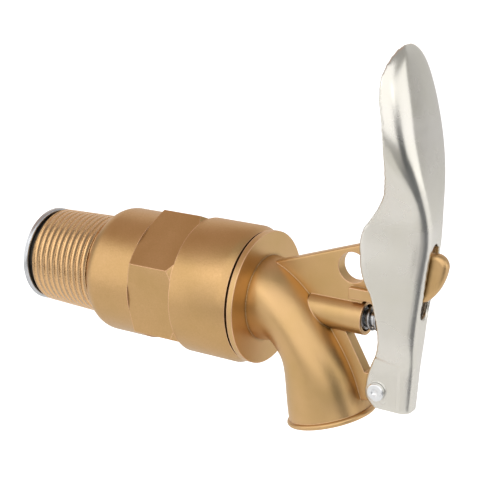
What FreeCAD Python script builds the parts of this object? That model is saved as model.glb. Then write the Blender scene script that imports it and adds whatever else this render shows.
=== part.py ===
import FreeCAD, Part
import Sketcher
import math
import os
from FreeCAD import Placement, Rotation, Vector

# Self-closing drum tap with a turning spout, in millimetres.
# The origin is on the axis of the inlet thread, where its full turns start.
# +X runs along the body, out of the drum; +Z is up; the lever stands over the spout.

doc = FreeCAD.newDocument("drum_tap")
sheet = doc.addObject("Spreadsheet::Sheet", "sizes")
sheet_rows = []
node_objects = {}


class Size:
    """A length or angle together with the sheet formula that gives it."""

    def __init__(self, value, text):
        self.value = value
        self.text = text

    def joined(self, other, sign, value):
        other = as_size(other)
        return Size(value(self.value, other.value), "(%s %s %s)" % (self.text, sign, other.text))

    def __add__(self, other):
        return self.joined(other, "+", lambda a, b: a + b)

    def __sub__(self, other):
        return self.joined(other, "-", lambda a, b: a - b)

    def __mul__(self, other):
        return self.joined(other, "*", lambda a, b: a * b)

    def __truediv__(self, other):
        return self.joined(other, "/", lambda a, b: a / b)

    def __neg__(self):
        return Size(-self.value, "(0 - %s)" % self.text)


def as_size(number):
    return number if isinstance(number, Size) else Size(float(number), repr(float(number)))


def sine(angle):
    return Size(math.sin(math.radians(angle.value)), "sin(%s * 1 deg)" % angle.text)


def cosine(angle):
    return Size(math.cos(math.radians(angle.value)), "cos(%s * 1 deg)" % angle.text)


def size(alias, value, note):
    """Write one driving dimension into the sheet and return it."""
    row = len(sheet_rows) + 1
    sheet_rows.append(alias)
    sheet.set("A%d" % row, note)
    sheet.set("B%d" % row, str(value))
    sheet.setAlias("B%d" % row, alias)
    return Size(float(value), "sizes.%s" % alias)


def bind(item, prop, amount):
    """Set a property from the sheet."""
    item.setExpression(prop, as_size(amount).text)


def keep(item, label):
    """Name a finished sub-part; the label is also its file name."""
    item.Label = label
    node_objects[label] = item
    return item


# Driving dimensions: inlet body
thread_radius = size("thread_radius", 13.2, "crest radius of the 3/4 inch pipe thread")
thread_length = size("thread_length", 20.1, "full turns, from the origin to the shoulder")
thread_lead_in = size("thread_lead_in", 0.9, "bevel at the free end of the nipple")
shoulder_radius = size("shoulder_radius", 14.4, "where the rear shoulder leaves the thread")
shoulder_end = size("shoulder_end", 24.2, "end of the rear shoulder's slope")
shoulder_round = size("shoulder_round", 5.0, "radius of the rear shoulder's curve")
rear_radius = size("rear_radius", 16.3, "plain barrel behind the hexagon")
hexagon_start = size("hexagon_start", 34.8, "rear end of the spanner flats")
hexagon_end = size("hexagon_end", 48.1, "front end of the spanner flats")
hexagon_flats = size("hexagon_flats", 31.8, "width across the flats")
hexagon_turn = size("hexagon_turn", 34.6, "turn of the hexagon about the axis, degrees")
hexagon_bevel = size("hexagon_bevel", 1.1, "slope at both ends of the hexagon's corners")
front_wall = size("front_wall", 4.65, "wall of the front barrel round the valve chamber")
front_bevel_start = size("front_bevel_start", 61.6, "start of the bevel at the mouth")
body_end = size("body_end", 63.8, "front face of the inlet body")
mouth_wall = size("mouth_wall", 3.6, "width of the front face round the valve chamber")
inlet_bore = size("inlet_bore", 9.6, "bore through the thread")
bore_end = size("bore_end", 34.0, "end of the inlet bore")
chamber_start = size("chamber_start", 37.0, "start of the valve chamber")
chamber_radius = size("chamber_radius", 12.65, "bore of the chamber that takes the spigot")

# Driving dimensions: flame arrester
arrester_stand_off = size("arrester_stand_off", 1.7, "gap between the cup's flange and the nipple")
arrester_sheet = size("arrester_sheet", 0.5, "sheet thickness of the cup and its spacer")
arrester_flange = size("arrester_flange", 12.6, "radius of the cup's flange")
arrester_shoulder = size("arrester_shoulder", 11.2, "radius of the cup's seat on the nipple")
arrester_reach = size("arrester_reach", 24.0, "inner end of the cup")
arrester_lip = size("arrester_lip", 7.9, "opening that the cup's rolled ends leave")
arrester_fit = size("arrester_fit", 0.05, "radial clearance of the cup and of what it holds")
screen_thickness = size("screen_thickness", 0.4, "thickness of a perforated screen")
screen_hole = size("screen_hole", 0.8, "radius of a screen's holes")
screen_pitch = size("screen_pitch", 2.25, "distance between the screen's rings of holes")

# Driving dimensions: swivel
swivel_gap = size("swivel_gap", 0.8, "gap between the body and the spout's flange")
swivel_fit = size("swivel_fit", 0.1, "radial clearance of the spigot in the chamber")
flange_thickness = size("flange_thickness", 1.5, "rim of the spout's flange")
flange_lip = size("flange_lip", 3.95, "how far the spout's flange reaches past the chamber's wall")
spigot_length = size("spigot_length", 11.4, "length of the spigot behind the flange")
snap_wire = size("snap_wire", 0.55, "wire radius of the snap ring")
snap_place = size("snap_place", 4.0, "snap ring behind the body's front face")
groove_fit = size("groove_fit", 0.1, "clearance round the snap ring and the o-rings in their grooves")
swivel_cord = size("swivel_cord", 0.8, "section radius of the swivel's o-ring")
swivel_seal_place = size("swivel_seal_place", 7.7, "o-ring behind the body's front face")

# Driving dimensions: spout
tube_radius = size("tube_radius", 10.5, "outer radius of the spout tube")
tube_wall = size("tube_wall", 2.2, "wall of the spout tube")
seat_bore = size("seat_bore", 6.4, "bore of the valve seat")
seat_land = size("seat_land", 1.0, "width of the raised seat")
seat_height = size("seat_height", 0.6, "height of the raised seat")
seat_depth = size("seat_depth", 4.5, "length of the seat's narrow bore")
seat_slope = size("seat_slope", 3.0, "length of the slope from the seat's bore to the spigot's bore")
bore_step = size("bore_step", 0.4, "step from the spigot's bore to the elbow's cored bore")
outlet_tilt = size("outlet_tilt", 16.0, "lean of the outlet's axis from straight down, degrees")
outlet_reach = size("outlet_reach", 18.7, "outlet's centre in front of the flange")
outlet_drop = size("outlet_drop", 27.1, "outlet's centre below the axis")
bead_radius = size("bead_radius", 0.7, "section radius of the bead round the outlet")

# Driving dimensions: fin, boss and lug
fin_thickness = size("fin_thickness", 3.2, "thickness of the fin")
fin_rise_start = size("fin_rise_start", 2.6, "start of the fin's top edge, in front of the flange")
fin_low_top = size("fin_low_top", 10.0, "height of the fin's top edge at its start")
fin_level_start = size("fin_level_start", 27.0, "where the top edge turns level, from the flange")
fin_top = size("fin_top", 18.5, "height of the level top edge")
nose_tip = size("nose_tip", 47.2, "tip of the fin's nose, in front of the flange")
nose_round = size("nose_round", 4.6, "radius at the top of the nose")
nose_heel = size("nose_heel", 7.1, "lowest point of the nose")
fin_edge_round = size("fin_edge_round", 0.5, "rounding along the fin's sloping edge")
nose_edge_round = size("nose_edge_round", 1.3, "rounding round the fin's nose")
padlock_bore = size("padlock_bore", 3.75, "radius of the padlock hole")
padlock_reach = size("padlock_reach", 24.0, "padlock hole in front of the flange")
padlock_height = size("padlock_height", 12.2, "height of the padlock hole")
pad_start = size("pad_start", 23.9, "start of the lever's guide pads, in front of the flange")
pad_length = size("pad_length", 9.0, "length of the guide pads")
pad_low = size("pad_low", 5.1, "underside of the guide pads")
pad_height = size("pad_height", 2.6, "height of the guide pads")
pad_fit = size("pad_fit", 0.3, "clearance between a guide pad and the lever's flange")
boss_radius = size("boss_radius", 4.2, "outer radius of the stem's boss")
boss_start = size("boss_start", 13.0, "start of the boss inside the elbow, in front of the flange")
boss_end = size("boss_end", 27.5, "mouth of the boss, in front of the flange")
boss_bore = size("boss_bore", 3.3, "bore that holds the return spring")
boss_bore_depth = size("boss_bore_depth", 9.4, "depth of the spring bore")
lug_width = size("lug_width", 3.2, "width of the pivot lug")
lug_round = size("lug_round", 3.1, "radius of the lug about the pivot")
rib_thickness = size("rib_thickness", 3.2, "thickness of the rib from the boss to the lug")
pivot_reach = size("pivot_reach", 31.9, "lever's pivot in front of the flange")
pivot_drop = size("pivot_drop", 16.6, "lever's pivot below the axis")

# Driving dimensions: stem and valve
stem_radius = size("stem_radius", 2.0, "radius of the stem")
stem_fit = size("stem_fit", 0.08, "radial clearance of the stem in its bore")
stem_thread_radius = size("stem_thread_radius", 1.75, "radius of the stem's threaded end")
stem_cord = size("stem_cord", 0.58, "section radius of the stem's o-ring")
gland_thickness = size("gland_thickness", 0.8, "thickness of the gland washer")
collar_radius = size("collar_radius", 3.0, "radius of the stem's collar")
collar_length = size("collar_length", 1.5, "length of the stem's collar")
seal_washer_radius = size("seal_washer_radius", 4.6, "radius of the washer in front of the seal")
seal_washer_thickness = size("seal_washer_thickness", 0.8, "thickness of that washer")
seal_radius = size("seal_radius", 8.3, "radius of the rubber valve seal")
seal_thickness = size("seal_thickness", 2.2, "thickness of the valve seal")
seal_gap = size("seal_gap", 0.03, "working gap between seal and seat in the model")
cup_rim = size("cup_rim", 0.9, "rim of the valve cup round the seal")
cup_depth = size("cup_depth", 1.2, "how deep the seal sits in the cup")
cup_base = size("cup_base", 2.4, "thickness of the valve cup's base")
nut_flats = size("nut_flats", 7.0, "width across the flats of the lock nut")
nut_height = size("nut_height", 2.6, "height of the lock nut")
nut_end = size("nut_end", 1.0, "stem past the lock nut")
spring_wire = size("spring_wire", 0.7, "wire diameter of the return spring")
spring_coil = size("spring_coil", 2.45, "mean radius of the return spring")
spring_length = size("spring_length", 14.8, "length of the return spring at rest")
spring_turns = size("spring_turns", 8, "turns of the return spring")
cap_radius = size("cap_radius", 2.9, "radius of the spring's cap washer")
cap_thickness = size("cap_thickness", 0.8, "thickness of the cap washer")
clip_radius = size("clip_radius", 2.75, "outer radius of the stem's clip")
clip_thickness = size("clip_thickness", 0.7, "thickness of the stem's clip")
clip_groove = size("clip_groove", 0.5, "depth of the clip's groove")
clip_lean = size("clip_lean", 38.0, "half of the clip's opening, degrees")

# Driving dimensions: lever and rivet
lever_sheet = size("lever_sheet", 1.3, "sheet thickness of the lever")
lever_bend = size("lever_bend", 3.0, "outer radius of the lever's long bends")
channel_depth = size("channel_depth", 14.0, "depth of the pressed blank behind the pivot, before its trim")
web_at_pivot = size("web_at_pivot", 8.6, "outside of the web in front of the pivot")
web_at_axis = size("web_at_axis", 9.65, "outside of the web at the stem, in front of the pivot")
web_at_knee = size("web_at_knee", 12.4, "outside of the web at the knee, in front of the pivot")
web_at_top = size("web_at_top", 5.9, "outside of the web at the top, in front of the pivot")
knee_height = size("knee_height", 22.0, "height of the lever's knee")
knee_round = size("knee_round", 0.35, "what the knee's round takes off its corner")
top_curl = size("top_curl", 2.4, "how far the lever's top edge curls back")
lever_top = size("lever_top", 64.4, "height of the lever's top")
lever_bottom = size("lever_bottom", 21.1, "lever's lower end below the axis")
foot_half_width = size("foot_half_width", 3.15, "half width of the lever at the pivot")
shank_half_width = size("shank_half_width", 4.5, "half width of the lever at the stem")
waist_half_width = size("waist_half_width", 5.0, "half width of the lever at the nose")
paddle_half_width = size("paddle_half_width", 12.6, "half width of the paddle")
slot_half_width = size("slot_half_width", 2.0, "half width of the slot in the web")
slot_low = size("slot_low", 2.4, "lower end of the slot")
slot_high = size("slot_high", 20.6, "upper end of the slot")
flange_edge_foot = size("flange_edge_foot", 3.05, "flange's edge behind the pivot")
flange_edge_shank = size("flange_edge_shank", 0.1, "flange's edge behind the pivot, under the stem")
flange_edge_waist = size("flange_edge_waist", 4.75, "flange's edge behind the pivot, at the hole")
flange_edge_paddle = size("flange_edge_paddle", 2.2, "flange's edge in front of the pivot, at the paddle")
paddle_edge_lean = size("paddle_edge_lean", 1.9, "how far the edge leans out towards the top")
paddle_edge_bend = size("paddle_edge_bend", 6.5, "lower end of that lean, below the top")
paddle_edge_high = size("paddle_edge_high", 11.0, "upper end of the paddle's bowed edge, below the top")
paddle_edge_low = size("paddle_edge_low", 32.0, "lower end of that edge, below the top")
paddle_edge_bow = size("paddle_edge_bow", 40.0, "radius of that edge")
waist_edge_high = size("waist_edge_high", 23.6, "upper end of the waist's edge")
waist_edge_middle = size("waist_edge_middle", 17.0, "height where the waist's edge stands furthest out")
waist_edge_low = size("waist_edge_low", 8.0, "lower end of the waist's edge")
waist_edge_round = size("waist_edge_round", 10.0, "radius of the waist's edge above its middle")
waist_edge_bow = size("waist_edge_bow", 16.0, "radius of the waist's edge below its middle")
shank_edge_hollow = size("shank_edge_hollow", 35.0, "radius of the hollow edge above the stem")
shank_edge_low = size("shank_edge_low", 8.7, "lower end of the shank's edge, above the pivot")
shank_edge_round = size("shank_edge_round", 14.0, "radius of the shank's edge under the stem")
foot_edge_bow = size("foot_edge_bow", 20.0, "radius of the foot's edge")
rivet_radius = size("rivet_radius", 1.6, "shank radius of the pivot rivet")
rivet_slack = size("rivet_slack", 0.02, "slack of the rivet in the flanges' holes")
rivet_fit = size("rivet_fit", 0.07, "radial clearance of the rivet in the lug")
rivet_head = size("rivet_head", 2.2, "radius of the rolled rivet head")
rivet_head_height = size("rivet_head_height", 1.1, "height of the rolled rivet head")
rivet_dimple = size("rivet_dimple", 0.9, "radius of the dimple in the rolled head")
rivet_flat_head = size("rivet_flat_head", 2.9, "radius of the factory head on the far side")
doc.recompute()

# Places that follow from the sizes
overrun = as_size(1)
front_radius = chamber_radius + front_wall
mouth_radius = chamber_radius + mouth_wall
flange_radius = chamber_radius + flange_lip
nipple_end = -thread_lead_in
spigot_end = body_end + swivel_gap - spigot_length
flange_back = body_end + swivel_gap
flange_face = flange_back + flange_thickness
seat_face = spigot_end - seat_height
pivot_x = flange_face + pivot_reach
pivot_z = -pivot_drop
boss_mouth = flange_face + boss_end
spring_bore_end = boss_mouth - boss_bore_depth
half_fin = fin_thickness / 2
spigot_radius = chamber_radius - swivel_fit
bore_radius = tube_radius - tube_wall


def origin_plane(body, role):
    for feature in body.Origin.OriginFeatures:
        if feature.Role == role:
            return feature
    raise RuntimeError("no origin plane " + role)


def new_body(name):
    return doc.addObject("PartDesign::Body", name)


def new_sketch(body, role, name):
    """A sketch on one of its own body's origin planes."""
    sketch = body.newObject("Sketcher::SketchObject", name)
    sketch.AttachmentSupport = [(origin_plane(body, role), "")]
    sketch.MapMode = "FlatFace"
    return sketch


def arc_centre(start, end, radius):
    """Centre of the arc from start to end; a positive radius turns left on the way."""
    chord = end - start
    half = chord.Length / 2
    height = math.sqrt(max(radius * radius - half * half, 0))
    left = Vector(-chord.y, chord.x, 0).normalize()
    return (start + end) * 0.5 + left * (height if radius > 0 else -height)


def draw_outline(sketch, corners):
    """Closed outline through the corners, each driven by the sheet.

    A corner is (across, up), or (across, up, radius) where the edge that arrives there is an arc.
    A positive radius turns left along the way, and a negative one turns right.
    """
    spots = [Vector(as_size(c[0]).value, as_size(c[1]).value, 0) for c in corners]
    first = sketch.GeometryCount
    ends = []
    for index, corner in enumerate(corners):
        start, end = spots[index - 1], spots[index]
        if len(corner) == 2:
            sketch.addGeometry(Part.LineSegment(start, end), False)
            ends.append((1, 2))
            continue
        radius = as_size(corner[2]).value
        centre = arc_centre(start, end, radius)
        circle = Part.Circle(centre, Vector(0, 0, 1), abs(radius))
        begin_angle = math.atan2(start.y - centre.y, start.x - centre.x)
        end_angle = math.atan2(end.y - centre.y, end.x - centre.x)
        if radius < 0:
            begin_angle, end_angle = end_angle, begin_angle
        sketch.addGeometry(Part.ArcOfCircle(circle, begin_angle, end_angle), False)
        ends.append((1, 2) if radius > 0 else (2, 1))
    count = len(corners)
    for index, corner in enumerate(corners):
        following = (index + 1) % count
        here = first + index
        sketch.addConstraint(Sketcher.Constraint(
            "Coincident", here, ends[index][1], first + following, ends[following][0]))
        for kind, amount, spot in (
                ("DistanceX", corner[0], spots[index].x),
                ("DistanceY", corner[1], spots[index].y)):
            place = sketch.addConstraint(Sketcher.Constraint(kind, -1, 1, here, ends[index][1], spot))
            bind(sketch, "Constraints[%d]" % place, amount)
        if len(corner) == 3:
            amount = as_size(corner[2])
            place = sketch.addConstraint(Sketcher.Constraint("Radius", here, abs(amount.value)))
            bind(sketch, "Constraints[%d]" % place, amount if amount.value > 0 else -amount)
    return sketch


def draw_circle(sketch, across, up, radius):
    """A circle whose centre and radius are driven by the sheet."""
    across, up, radius = as_size(across), as_size(up), as_size(radius)
    centre = Vector(across.value, up.value, 0)
    here = sketch.addGeometry(Part.Circle(centre, Vector(0, 0, 1), radius.value), False)
    for kind, amount in (("DistanceX", across), ("DistanceY", up)):
        place = sketch.addConstraint(Sketcher.Constraint(kind, -1, 1, here, 3, amount.value))
        bind(sketch, "Constraints[%d]" % place, amount)
    place = sketch.addConstraint(Sketcher.Constraint("Radius", here, radius.value))
    bind(sketch, "Constraints[%d]" % place, radius)


def turned(name, profile):
    """A body turned about the X axis from a closed profile of (along, radius) corners."""
    body = new_body(name)
    sketch = draw_outline(new_sketch(body, "XZ_Plane", name + "_profile"), profile)
    turn = body.newObject("PartDesign::Revolution", name + "_turn")
    turn.Profile = sketch
    turn.ReferenceAxis = (sketch, ["H_Axis"])
    turn.Angle = 360
    return body


def pad_both_ways(body, sketch, width, name):
    """Pad a sketch by the width, half to each side of its plane."""
    pad = body.newObject("PartDesign::Pad", name)
    pad.Profile = sketch
    pad.SideType = "Symmetric"
    bind(pad, "Length", width)
    return pad


def plate(name, outline, width):
    """A plate in the XZ plane, centred on it, with the given outline."""
    body = new_body(name)
    sketch = draw_outline(new_sketch(body, "XZ_Plane", name + "_outline"), outline)
    pad_both_ways(body, sketch, width, name + "_pad")
    return body


def cylinder_along_x(name, start, end, radius):
    item = doc.addObject("Part::Cylinder", name)
    item.Placement = Placement(Vector(as_size(start).value, 0, 0), Rotation(Vector(0, 1, 0), 90))
    bind(item, "Radius", radius)
    bind(item, "Height", as_size(end) - start)
    bind(item, "Placement.Base.x", start)
    return item


def cylinder_along_y(name, across, up, half_length, radius):
    item = doc.addObject("Part::Cylinder", name)
    item.Placement = Placement(Vector(), Rotation(Vector(1, 0, 0), 90))
    bind(item, "Radius", radius)
    bind(item, "Height", as_size(half_length) * 2)
    bind(item, "Placement.Base.x", across)
    bind(item, "Placement.Base.y", half_length)
    bind(item, "Placement.Base.z", up)
    return item


def ring_along_x(name, along, middle_radius, section_radius):
    item = doc.addObject("Part::Torus", name)
    item.Placement = Placement(Vector(), Rotation(Vector(0, 1, 0), 90))
    bind(item, "Radius1", middle_radius)
    bind(item, "Radius2", section_radius)
    bind(item, "Placement.Base.x", along)
    return item


def fused(name, pieces):
    item = doc.addObject("Part::MultiFuse", name)
    item.Shapes = pieces
    item.Refine = False
    return item


def cut(name, base, tool):
    item = doc.addObject("Part::Cut", name)
    item.Base = base
    item.Tool = tool
    item.Refine = False
    return item


# Inlet body: nipple, rear shoulder, barrel with spanner flats and the swivel's housing
hexagon_corner = hexagon_flats / math.sqrt(3)
snap_x = body_end - snap_place
snap_middle = chamber_radius - swivel_fit / 2
snap_half = snap_wire + groove_fit
inlet = turned("inlet_blank", [
    (nipple_end, inlet_bore),
    (nipple_end, thread_radius - thread_lead_in),
    (0, thread_radius),
    (thread_length, thread_radius),
    (thread_length, shoulder_radius),
    (shoulder_end, rear_radius, -shoulder_round),
    (hexagon_start, rear_radius),
    (hexagon_start + hexagon_bevel, hexagon_corner),
    (hexagon_end - hexagon_bevel, hexagon_corner),
    (hexagon_end, front_radius),
    (front_bevel_start, front_radius),
    (body_end, mouth_radius),
    (body_end, chamber_radius),
    (snap_x + snap_half, chamber_radius),
    (snap_x + snap_half, snap_middle + snap_half),
    (snap_x - snap_half, snap_middle + snap_half),
    (snap_x - snap_half, chamber_radius),
    (chamber_start, chamber_radius),
    (bore_end, inlet_bore),
])
flats_sketch = new_sketch(inlet, "YZ_Plane", "flats_outline")
bind(flats_sketch, "AttachmentOffset.Base.z", hexagon_start)
draw_circle(flats_sketch, 0, 0, hexagon_corner * 1.2)
corner_turns = [hexagon_turn + 60 * corner for corner in range(6)]
draw_outline(flats_sketch, [
    (hexagon_corner * cosine(turn), hexagon_corner * sine(turn)) for turn in corner_turns
])
flats = inlet.newObject("PartDesign::Pocket", "spanner_flats")
flats.Profile = flats_sketch
flats.Reversed = True
bind(flats, "Length", hexagon_end - hexagon_start)
keep(inlet, "inlet_body")

# Flame arrester: flanged cup pressed into the nipple, with two screens and the spacer between them
flange_out = nipple_end - arrester_stand_off - arrester_sheet
cup_outer = inlet_bore - arrester_fit
cup_inner = cup_outer - arrester_sheet
held_radius = cup_inner - arrester_fit
cup_floor = flange_out + arrester_sheet
cup_stop = arrester_reach - arrester_sheet
keep(turned("arrester_cup", [
    (flange_out, arrester_lip),
    (flange_out, arrester_flange),
    (cup_floor, arrester_flange),
    (cup_floor, arrester_shoulder),
    (nipple_end, arrester_shoulder),
    (nipple_end, cup_outer),
    (arrester_reach, cup_outer),
    (arrester_reach, arrester_lip),
    (cup_stop, arrester_lip),
    (cup_stop, cup_inner),
    (cup_floor, cup_inner),
    (cup_floor, arrester_lip),
]), "arrester_cup")
keep(turned("arrester_spacer", [
    (cup_floor + screen_thickness, held_radius - arrester_sheet),
    (cup_floor + screen_thickness, held_radius),
    (cup_stop - screen_thickness, held_radius),
    (cup_stop - screen_thickness, held_radius - arrester_sheet),
]), "arrester_spacer")


def screen(label, start):
    """Perforated disc: a middle hole and rings of six, twelve and eighteen."""
    body = new_body(label)
    disc_sketch = new_sketch(body, "YZ_Plane", label + "_disc")
    bind(disc_sketch, "AttachmentOffset.Base.z", start)
    draw_circle(disc_sketch, 0, 0, held_radius)
    draw_circle(disc_sketch, 0, 0, screen_hole)
    disc = body.newObject("PartDesign::Pad", label + "_pad")
    disc.Profile = disc_sketch
    bind(disc, "Length", screen_thickness)
    for ring in (1, 2, 3):
        doc.recompute()
        hole_sketch = new_sketch(body, "YZ_Plane", "%s_hole_%d" % (label, ring))
        bind(hole_sketch, "AttachmentOffset.Base.z", start)
        draw_circle(hole_sketch, screen_pitch * ring, 0, screen_hole)
        hole = body.newObject("PartDesign::Pocket", "%s_cut_%d" % (label, ring))
        hole.Profile = hole_sketch
        hole.Reversed = True
        bind(hole, "Length", screen_thickness)
        body.Tip = hole
        doc.recompute()
        pattern = body.newObject("PartDesign::PolarPattern", "%s_ring_%d" % (label, ring))
        pattern.Originals = [hole]
        pattern.Axis = (hole_sketch, ["N_Axis"])
        pattern.Angle = 360
        pattern.Occurrences = 6 * ring
        body.Tip = pattern
    return keep(body, label)


screen("arrester_front_screen", cup_floor)
screen("arrester_rear_screen", cup_stop - screen_thickness)

# Swivel: snap ring in the housing's groove, thrust washer at the mouth and o-ring on the spigot
keep(ring_along_x("swivel_snap_ring", snap_x, snap_middle, snap_wire), "swivel_snap_ring")
washer_slack = swivel_gap * 0.05
keep(turned("swivel_washer", [
    (body_end, chamber_radius + swivel_fit),
    (body_end, mouth_radius - swivel_gap),
    (flange_back - washer_slack, mouth_radius - swivel_gap),
    (flange_back - washer_slack, chamber_radius + swivel_fit),
]), "swivel_washer")
swivel_seal_x = body_end - swivel_seal_place
swivel_seal_middle = chamber_radius - swivel_fit / 2 - swivel_cord
keep(ring_along_x("swivel_o_ring", swivel_seal_x, swivel_seal_middle, swivel_cord), "swivel_o_ring")

# Spout casting: turned spigot and flange
seal_half = swivel_cord + groove_fit
seal_floor = swivel_seal_middle - swivel_cord
spigot = turned("spigot", [
    (seat_face, seat_bore),
    (seat_face, seat_bore + seat_land),
    (spigot_end, seat_bore + seat_land),
    (spigot_end, spigot_radius),
    (swivel_seal_x - seal_half, spigot_radius),
    (swivel_seal_x - seal_half, seal_floor),
    (swivel_seal_x + seal_half, seal_floor),
    (swivel_seal_x + seal_half, spigot_radius),
    (snap_x - snap_half, spigot_radius),
    (snap_x - snap_half, snap_middle - snap_half),
    (snap_x + snap_half, snap_middle - snap_half),
    (snap_x + snap_half, spigot_radius),
    (flange_back, spigot_radius),
    (flange_back, flange_radius),
    (flange_face, flange_radius),
    (flange_face, bore_radius - bore_step),
    (spigot_end + seat_depth + seat_slope, bore_radius - bore_step),
    (spigot_end + seat_depth, seat_bore),
])

# Spout casting: the elbow is a loft through oval sections that lean from the flange to the outlet
outlet_x = flange_face + outlet_reach
outlet_z = -outlet_drop
outlet_lean = as_size(90) - outlet_tilt
elbow_stations = [
    # shares of the outlet's reach, drop and lean, and the half depth as a share of the tube's radius
    (-0.042, 0.0, 0.0, 1.0),
    (0.085, 0.0, 0.0, 1.0),
    (0.392, 0.086, 0.338, 0.80),
    (0.603, 0.247, 0.676, 0.72),
    (0.794, 0.472, 1.0, 0.80),
    (0.901, 0.75, 1.0, 0.93),
    (1.0, 1.0, 1.0, 1.0),
]


def elbow(name, inset, past_end):
    """Loft of the elbow, inset by a wall and carried past both its ends."""
    sections = []
    last = len(elbow_stations) - 1
    for index, (reach, drop, lean, depth) in enumerate(elbow_stations):
        along = flange_face + outlet_reach * reach
        up = -outlet_drop * drop
        lean = outlet_lean * lean
        if index == 0:
            along = along - past_end
        if index == last:
            along = along + cosine(lean) * past_end
            up = up - sine(lean) * past_end
        section = doc.addObject("Part::Ellipse", "%s_section_%d" % (name, index))
        section.Placement = Placement(
            Vector(), Rotation(Vector(0, 1, 0), 90 + lean.value) * Rotation(Vector(0, 0, 1), 90))
        bind(section, "MajorRadius", tube_radius - inset)
        bind(section, "MinorRadius", tube_radius * depth - inset)
        bind(section, "Placement.Base.x", along)
        bind(section, "Placement.Base.z", up)
        sections.append(section)
    loft = doc.addObject("Part::Loft", name)
    loft.Sections = sections
    loft.Solid = True
    loft.Ruled = False
    return loft


elbow_outside = elbow("elbow_outside", as_size(0), as_size(0))
elbow_inside = elbow("elbow_inside", tube_wall, overrun)
bead = doc.addObject("Part::Torus", "outlet_bead")
bead.Placement = Placement(Vector(), Rotation(Vector(0, 1, 0), 180 - outlet_tilt.value))
bind(bead, "Radius1", tube_radius)
bind(bead, "Radius2", bead_radius)
bind(bead, "Placement.Base.x", outlet_x - sine(outlet_tilt) * bead_radius)
bind(bead, "Placement.Base.z", outlet_z + cosine(outlet_tilt) * bead_radius)

# Spout casting: fin with its nose, guide pads, boss, rib and pivot lug
nose_x = flange_face + nose_tip
fin_foot = fin_low_top * 0.5
fin = plate("fin", [
    (flange_face + fin_rise_start, fin_foot),
    (flange_face + fin_rise_start, fin_low_top),
    (flange_face + fin_level_start, fin_top),
    (nose_x - nose_round * 0.55, fin_top),
    (nose_x, fin_top - nose_round * 0.65, -nose_round * 0.62),
    (nose_x - nose_round * 0.95, nose_heel, nose_round * -3),
    (flange_face + pad_start + pad_length, pad_low),
    (boss_mouth, pad_low),
    (boss_mouth, fin_foot),
    (boss_mouth - boss_radius, 0),
    (flange_face + fin_rise_start + boss_radius, 0),
], fin_thickness)
doc.recompute()
fin_pad = doc.getObject("fin_pad")


def round_side_edges(item, name, start, end, radius):
    """Round the fin's side edges whose middles lie between two places along the body."""
    rounding = fin.newObject("PartDesign::Fillet", name)
    rounding.Base = (item, [
        "Edge%d" % (number + 1) for number, edge in enumerate(item.Shape.Edges)
        if abs(abs(edge.CenterOfMass.y) - half_fin.value) < half_fin.value * 0.01
        and edge.CenterOfMass.z > nose_heel.value
        and start.value < edge.CenterOfMass.x < end.value
    ])
    bind(rounding, "Radius", radius)
    fin.Tip = rounding
    doc.recompute()
    return rounding


fin_bend = flange_face + fin_level_start
nose_edges = round_side_edges(fin_pad, "nose_edges", fin_bend, nose_x, nose_edge_round)
round_side_edges(nose_edges, "fin_edges", flange_face + fin_rise_start + overrun, fin_bend, fin_edge_round)
pads = plate("guide_pads", [
    (flange_face + pad_start, pad_low),
    (flange_face + pad_start, pad_low + pad_height),
    (flange_face + pad_start + pad_length, pad_low + pad_height),
    (flange_face + pad_start + pad_length, pad_low),
], ((shank_half_width + waist_half_width) / 2 - lever_sheet - pad_fit) * 2)
boss = cylinder_along_x("boss", flange_face + boss_start, boss_mouth, boss_radius)
lug = plate("lug", [
    (pivot_x - lug_round * 3.4, pivot_z + lug_round * 1.08),
    (pivot_x - lug_round * 0.6, pivot_z + lug_round * 1.08),
    (pivot_x + lug_round, pivot_z, -lug_round * 1.12),
    (pivot_x, pivot_z - lug_round, -lug_round),
    (pivot_x - lug_round * 3.4, pivot_z - lug_round * 1.5),
], lug_width)
rib = plate("rib", [
    (boss_mouth - boss_radius * 3.0, -boss_radius * 0.6),
    (boss_mouth - boss_radius * 1.25, -boss_radius * 0.8),
    (pivot_x - lug_round * 1.25, pivot_z + lug_round),
    (pivot_x - lug_round * 3.0, pivot_z + lug_round * 0.5),
], rib_thickness)
spout_solid = fused("spout_solid", [spigot, elbow_outside, bead, fin, pads, boss, lug, rib])
spout_bores = [
    elbow_inside,
    cylinder_along_x("stem_bore", flange_face + boss_start * 0.6, boss_mouth, stem_radius + stem_fit),
    cylinder_along_x("spring_bore", spring_bore_end, boss_mouth + overrun, boss_bore),
    cylinder_along_y(
        "padlock_hole", flange_face + padlock_reach, padlock_height, fin_thickness, padlock_bore),
    cylinder_along_y("rivet_bore", pivot_x, pivot_z, lug_width, rivet_radius + rivet_fit),
]
for number, bore in enumerate(spout_bores):
    spout_solid = cut("spout_cut_%d" % number, spout_solid, bore)
keep(spout_solid, "spout_casting")

# Stem gland: o-ring at the bottom of the spring bore, held by a washer that the spring bears on
cord_middle = (stem_radius + boss_bore) / 2
cord_x = spring_bore_end + stem_cord
keep(ring_along_x("stem_o_ring", cord_x, cord_middle, stem_cord), "stem_o_ring")
gland_x = cord_x + stem_cord
keep(turned("gland_washer", [
    (gland_x, stem_radius + stem_fit),
    (gland_x, boss_bore - stem_fit),
    (gland_x + gland_thickness, boss_bore - stem_fit),
    (gland_x + gland_thickness, stem_radius + stem_fit),
]), "gland_washer")

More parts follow.
